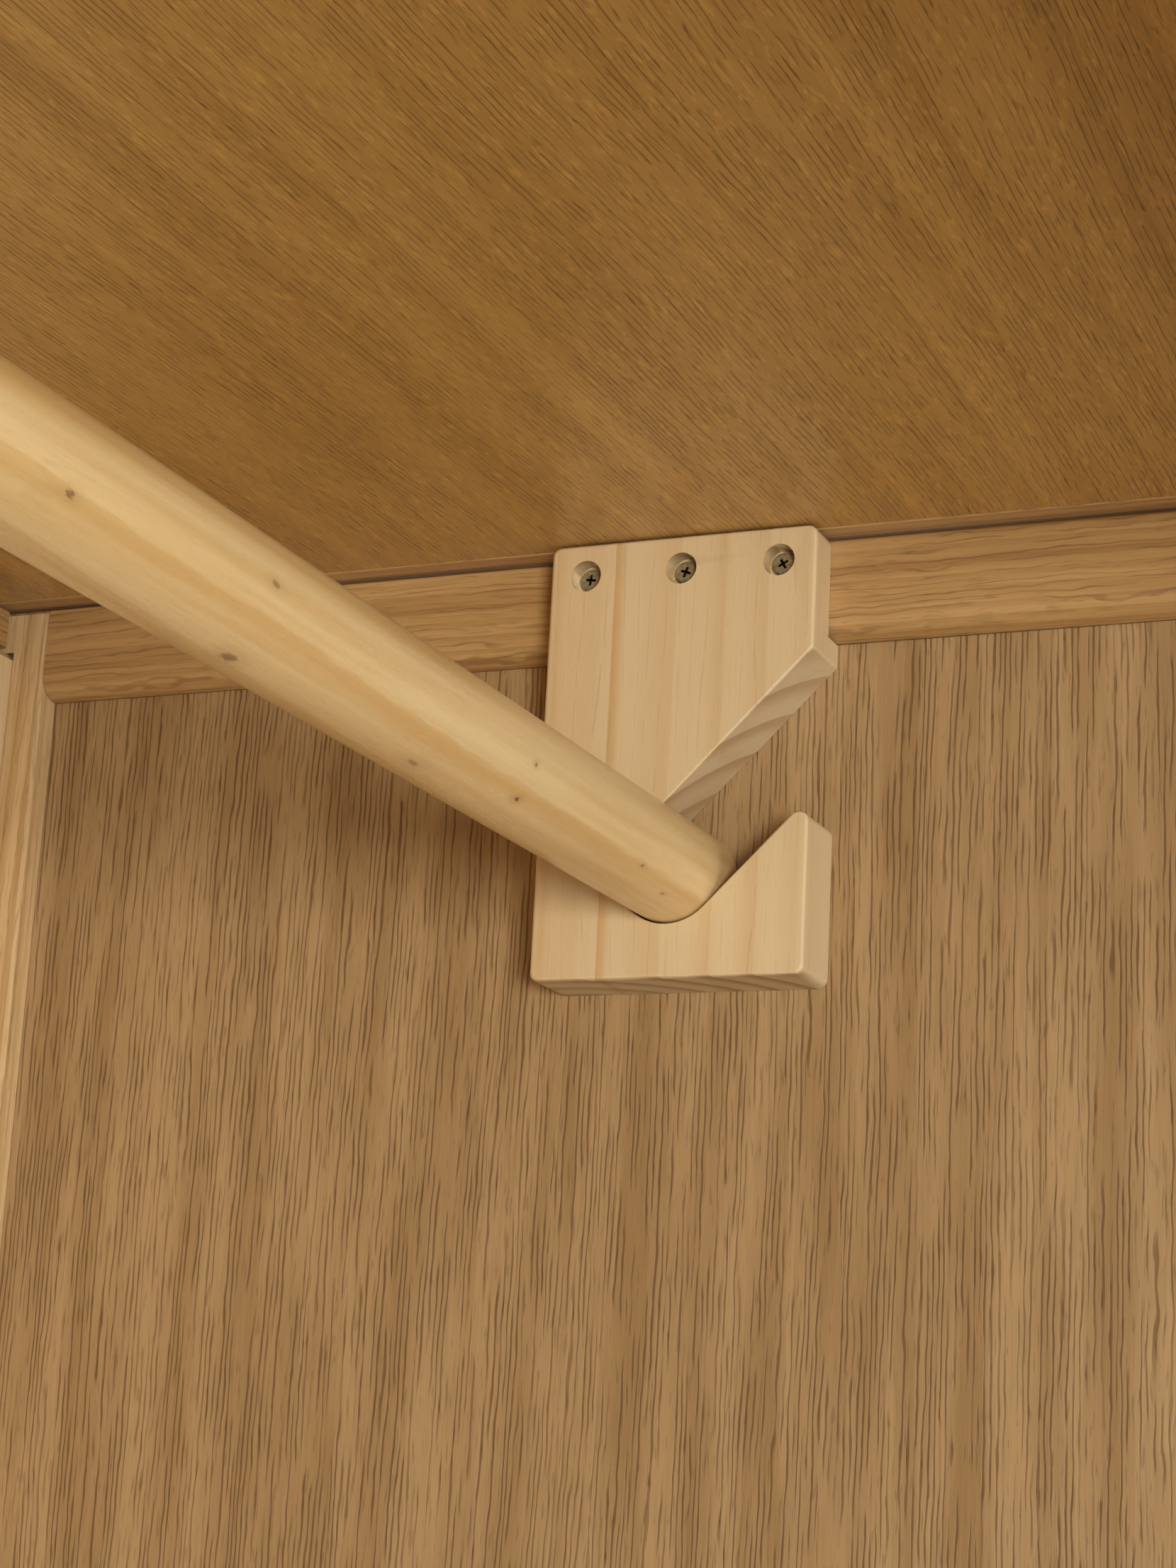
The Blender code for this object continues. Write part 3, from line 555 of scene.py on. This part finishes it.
def make_brackets():
    """Both rail brackets, in pine with its grain upright."""
    # Each streak: its back edge, how far it fades forwards, how soft its back edge is, strength
    streaks = (
        (RAIL_AXIS.y + 21.6 * MM, 4.6 * MM, 0.5 * MM, 0.85),
        (RAIL_AXIS.y + 41.0 * MM, 3.5 * MM, 1.5 * MM, 0.35),
        (RAIL_AXIS.y - 14.0 * MM, 5.0 * MM, 4.0 * MM, 0.20),
    )
    for word, side in SIDES:
        node = f"rail_bracket_{word}"
        heart = (RAIL_AXIS.y + 38 * MM, side * (BRACKET_FACE + 55 * MM))
        material = wood(f"pine_{node}", Pine, "Z", "X", 11 + side, streaks=streaks, heart=heart)
        piece_of(f"shaped_{node}", smoothed_copy(node), material, "carcass", node)


# The bracket's screws
HEAD_RADIUS = 3.6 * MM
HEAD_HIGH = 2.3 * MM
HEAD_SEAT = 2.4 * MM  # from the front of the node's box to the underside of the head
CROSS_LONG = 4.6 * MM
CROSS_WIDE = 1.15 * MM
CROSS_DEEP = 1.7 * MM
CROSS_TAPER = 0.55  # size of the recess at its bottom
SHANK_RADIUS = 2.0 * MM
SCREW_TURNS = (62, 20, 8)  # angle of each cross in degrees


def screw_mesh(shank_long):
    """A round-headed screw with a cross recess, facing -Z, the underside of its head on Z 0."""
    steps = [math.pi / 2 * k / 5 for k in range(6)]
    rim = 0.38 * HEAD_HIGH
    profile = [(-HEAD_HIGH, 0), (-HEAD_HIGH, HEAD_RADIUS * 0.30)]
    for turn in steps:
        radius = HEAD_RADIUS * (0.72 + 0.28 * math.sin(turn))
        profile.append((-HEAD_HIGH + rim * (1 - math.cos(turn)), radius))
    profile += [(0, HEAD_RADIUS), (0, SHANK_RADIUS)]
    profile += [(shank_long - 2 * SHANK_RADIUS, SHANK_RADIUS), (shank_long, 0)]
    body = bpy.data.objects.new("screw_head", mesh_of("screw_head", turned(profile, 40)))
    bpy.context.scene.collection.objects.link(body)
    cutters = []
    for turn in (0, 90):
        solid = bmesh.new()
        bmesh.ops.create_cube(solid, size=1.0)
        for vert in solid.verts:
            bottom = vert.co.z > 0
            shrink = CROSS_TAPER if bottom else 1.0
            z = -HEAD_HIGH + CROSS_DEEP if bottom else -HEAD_HIGH - CROSS_DEEP
            vert.co = (vert.co.x * CROSS_LONG * shrink, vert.co.y * CROSS_WIDE * shrink, z)
        bmesh.ops.transform(solid, matrix=Matrix.Rotation(math.radians(turn), 4, "Z"), verts=solid.verts)
        cutter = bpy.data.objects.new("recess", mesh_of("recess", solid))
        bpy.context.scene.collection.objects.link(cutter)
        boolean = body.modifiers.new("recess", "BOOLEAN")
        boolean.object = cutter
        boolean.solver = "EXACT"
        cutters.append(cutter)
    bpy.context.view_layer.update()
    shaped = bpy.data.meshes.new_from_object(body.evaluated_get(bpy.context.evaluated_depsgraph_get()))
    for helper in [body, *cutters]:
        bpy.data.objects.remove(helper)
    return shaped


def screw_steel(name, centre, top, side):
    """Plated steel, its cross recess painted near-black as painted shade."""
    finish = Finish(name)
    x, y, z = finish.place()
    off_y, off_z = y - centre.y, z - centre.z
    out = finish.math("SQRT", off_y * off_y + off_z * off_z)
    depth = (x - top) * side
    # Mask of the cross recess, which gets painted shade: a near-black colour in place of the shadow inside it
    recess = finish.step(depth, 0.15 * MM, 0.55 * MM) * (1.0 - finish.step(out, 2.5 * MM, 2.7 * MM))
    stain = finish.noise(x * 900.0, y * 900.0, z * 900.0, 2.0)
    colour = finish.mix(finish.step(stain, 0.3, 0.75), (0.46, 0.41, 0.27), (0.26, 0.22, 0.13))
    # Painted shade: the recess is coloured near-black
    colour = finish.mix(recess, colour, (0.012, 0.011, 0.009))
    return finish.show(colour, stain * 0.2 + 0.30, stain, 0.00001, metallic=0.55)


def make_bracket_screws():
    """The screws of both brackets, each stopped at its own angle."""
    low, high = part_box("bracket_screw_right_1")
    screw = screw_mesh(high.x - low.x - HEAD_SEAT)
    for word, side in SIDES:
        for number, angle in enumerate(SCREW_TURNS, start=1):
            node = f"bracket_screw_{word}_{number}"
            low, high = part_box(node)
            centre = (low + high) / 2
            under = (low.x if side > 0 else high.x) + side * HEAD_SEAT
            place = Matrix.Translation((under, centre.y, centre.z)) @ toward((side, 0, 0))
            mesh = screw.copy()
            mesh.transform(place @ Matrix.Rotation(math.radians(angle), 4, "Z"))
            steel = screw_steel(f"steel_{node}", centre, under - side * HEAD_HIGH, side)
            piece_of(f"cross_{node}", mesh, steel, "carcass", node)


# Boards and doors


# Timber, grain direction and face of each kind of board
CARCASS_BOARDS = {
    "post": (PaleOak, "Z", "X"),
    "side_top_rail": (Oak, "Y", "X"),
    "side_bottom_rail": (Oak, "Y", "X"),
    "side_panel": (OakVeneer, "Z", "X"),
    "front_top_rail": (Oak, "X", "Y"),
    "front_bottom_rail": (Oak, "X", "Y"),
    "back_top_rail": (Oak, "X", "Y"),
    "back_bottom_rail": (Oak, "X", "Y"),
    "back_panel": (PinePanel, "Z", "Y"),
    "bottom_board": (OakVeneer, "X", "Z"),
    "top_board": (TopVeneer, "X", "Z"),
    "top_edging": (Oak, "Y", "Z"),
}
DOOR_BOARDS = {
    "meeting_stile": (Oak, "Z", "Y"),
    "hinge_stile": (Oak, "Z", "Y"),
    "top_rail": (Oak, "X", "Y"),
    "bottom_rail": (Oak, "X", "Y"),
    "panel": (OakVeneer, "Z", "Y"),
    "knob": (Oak, "Y", "X"),
}


# A filled pin hole in the right side rail: along, across and into it, then size, stretch and strength
PUTTY_MARK = ((0.112, 1.850, 0.462), 1.4 * MM, 1.3, 0.5)


def finish_node(name, material):
    mesh = frame["nodes"][name].data
    mesh.materials.clear()
    mesh.materials.append(material)


def finish_carcass():
    for seed, name in enumerate(sorted(frame["nodes"])):
        kinds = [kind for kind in CARCASS_BOARDS if name.startswith(kind)]
        if not kinds:
            continue
        timber, grain, face = CARCASS_BOARDS[kinds[0]]
        marks = (PUTTY_MARK,) if name == "side_top_rail_right" else ()
        material = wood(f"wood_{name}", timber, grain, face, seed, marks=marks, board=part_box(name))
        if kinds[0] == "side_top_rail":
            piece_of(f"rounded_{name}", smoothed_copy(name), material, "carcass", name)
        else:
            finish_node(name, material)


def finish_doors():
    for word, side in SIDES:
        for seed, (kind, (timber, grain, face)) in enumerate(DOOR_BOARDS.items()):
            name = f"door_{word}_{kind}"
            pin = HINGE_PIN[word]
            seed = 100 + seed + 20 * side
            material = wood(f"wood_{name}", timber, grain, face, seed, side * OPEN_ANGLE, (pin.x, pin.y))
            if kind == "knob":
                piece_of(f"polished_{name}", smoothed_copy(name), material, f"door_{word}", name)
            else:
                finish_node(name, material)


def finish_metalwork():
    brass = metal("hinge_brass", (0.62, 0.43, 0.18), (0.30, 0.19, 0.08), 0.24)
    brown = moulded("catch_plastic", (0.22, 0.12, 0.06), 0.35)
    for name in frame["nodes"]:
        if name.startswith("hinge_"):
            finish_node(name, brass)
    finish_node("door_catch", brown)
    make_bracket_screws()


# Floor, light and camera


def make_floor():
    mesh = bpy.data.meshes.new("floor")
    reach = 12.0
    corners = [(-reach, -reach, 0), (reach, -reach, 0), (reach, reach, 0), (-reach, reach, 0)]
    mesh.from_pydata(corners, [], [(0, 1, 2, 3)])
    floor = bpy.data.objects.new("floor", mesh)
    bpy.context.scene.collection.objects.link(floor)
    finish = Finish("pale_floor")
    x, y, _ = finish.place()
    mottle = finish.noise(x * 3.0, y * 3.0, 0.0, 4.0)
    shade = finish.mix(mottle, (0.68, 0.67, 0.65), (0.74, 0.73, 0.71))
    mesh.materials.append(finish.show(shade, mottle * 0.1 + 0.6))


def soft_light(name, place, target, size, power, colour):
    lamp = bpy.data.lights.new(name, "AREA")
    lamp.shape = "SQUARE"
    lamp.size = size
    lamp.energy = power
    lamp.color = colour
    light = bpy.data.objects.new(name, lamp)
    bpy.context.scene.collection.objects.link(light)
    light.location = place
    light.rotation_euler = (Vector(target) - Vector(place)).to_track_quat("-Z", "Y").to_euler()
    light.visible_camera = False
    return light


def light_scene():
    """A key light on the right-hand bracket, fills from the front and two lights on the back."""
    seat = Vector((PANEL_FACE, RAIL_AXIS.y, RAIL_AXIS.z))
    key_way = Vector((0.83, 0.53, 0.15)).normalized()
    key_far = 2.0
    key = soft_light("key_light", seat - key_way * key_far, seat, 0.45, 24.0, (1.0, 0.96, 0.85))
    # The key light stands beyond the left door, so that door doesn't block it
    unshaded = bpy.data.collections.new("no_shadow_of_the_key_light")
    for thing in bpy.context.scene.objects:
        if thing.type == "MESH" and "door_left" in thing.name:
            unshaded.objects.link(thing)
    key.light_linking.blocker_collection = unshaded
    for entry in unshaded.collection_objects:
        entry.light_linking.link_state = "EXCLUDE"
    soft_light("low_fill", (-0.3, -1.3, 0.7), (0.25, 0.25, 1.85), 0.9, 3.5, (1.0, 0.98, 0.90))
    soft_light("front_light", (-0.4, -3.3, 1.1), (0, 0, 1.1), 2.2, 18.0, (1.0, 0.98, 0.92))
    soft_light("back_light_left", (-2.8, 2.8, 2.6), (0, 0, 1.0), 2.2, 90.0, (1.0, 0.98, 0.95))
    soft_light("back_light_right", (3.0, 1.6, 2.4), (0, 0, 1.0), 2.2, 80.0, (1.0, 0.98, 0.95))
    world = bpy.data.worlds.new("studio")
    bpy.context.scene.world = world
    world.use_nodes = True
    backdrop = world.node_tree.nodes["Background"]
    backdrop.inputs["Color"].default_value = (0.93, 0.92, 0.90, 1.0)
    backdrop.inputs["Strength"].default_value = 0.34


def place_camera():
    """The camera stands inside the left half, under the rail, and looks up at the right-hand bracket."""
    pan, tilt, roll = math.radians(23.63), math.radians(14.69), math.radians(3.02)
    forward = Vector((math.cos(tilt) * math.cos(pan), math.cos(tilt) * math.sin(pan), math.sin(tilt)))
    level = Vector((math.sin(pan), -math.cos(pan), 0))
    right = level * math.cos(roll) + level.cross(forward) * math.sin(roll)
    above = right.cross(forward)
    place = Vector((BRACKET_FACE - 0.8154, RAIL_AXIS.y - 0.3292, RAIL_AXIS.z - 0.2051))
    camera = bpy.data.objects.new("camera", bpy.data.cameras.new("camera"))
    bpy.context.scene.collection.objects.link(camera)
    turn = Matrix((right, above, -forward)).transposed().to_4x4()
    camera.matrix_world = Matrix.Translation(place) @ turn
    camera.data.lens = 68.76
    camera.data.clip_start = 0.02
    bpy.context.scene.camera = camera


finish_carcass()
finish_doors()
finish_metalwork()
make_hanging_rail()
make_brackets()
make_floor()
light_scene()
place_camera()
bpy.context.scene.view_settings.view_transform = "Standard"
